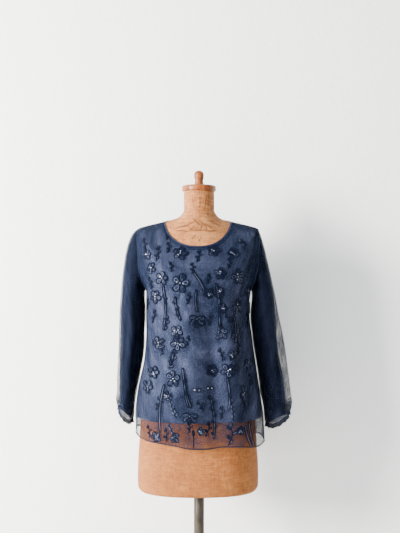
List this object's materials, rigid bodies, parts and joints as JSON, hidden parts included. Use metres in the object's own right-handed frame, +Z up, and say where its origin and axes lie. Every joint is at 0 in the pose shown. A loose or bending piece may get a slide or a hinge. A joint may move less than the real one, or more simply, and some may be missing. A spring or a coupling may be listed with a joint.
{
  "type": "embroidered top on a dress form",
  "caption": "Long-sleeved blouse with an embroidered sheer overlay on an opaque lining, worn by a limbless dress form on a pole stand with a round base.",
  "frame": {"origin": "on the floor under the pole, at the centre of the base's underside", "axes": "+Z up along the pole, the front of the top faces -Y, +X to the viewer's right"},
  "size_m": [0.5315, 0.34, 1.5536],
  "materials": {
    "mesh": "sheer navy mesh with embroidery",
    "lining": "smooth dusty navy lining",
    "trim": "dark binding",
    "covering": "aged linen pasted over papier mache",
    "wood": "varnished orange-brown wood",
    "steel": "dull worn steel",
    "iron": "dark painted iron"
  },
  "bodies": {
    "root": {"overlay_front": "mesh", "overlay_back": "mesh", "lining_front": "lining", "lining_back": "lining", "sleeve_left": "mesh", "sleeve_right": "mesh", "sleeve_lining_left": "lining", "sleeve_lining_right": "lining", "cuff_ruffle_left": "mesh", "cuff_ruffle_right": "mesh", "neck_binding": "trim", "dress_form": "covering", "neck_cap": "wood", "finial": "wood", "pole": "steel", "pole_collar": "iron", "base": "iron"}
  },
  "joints": []
}
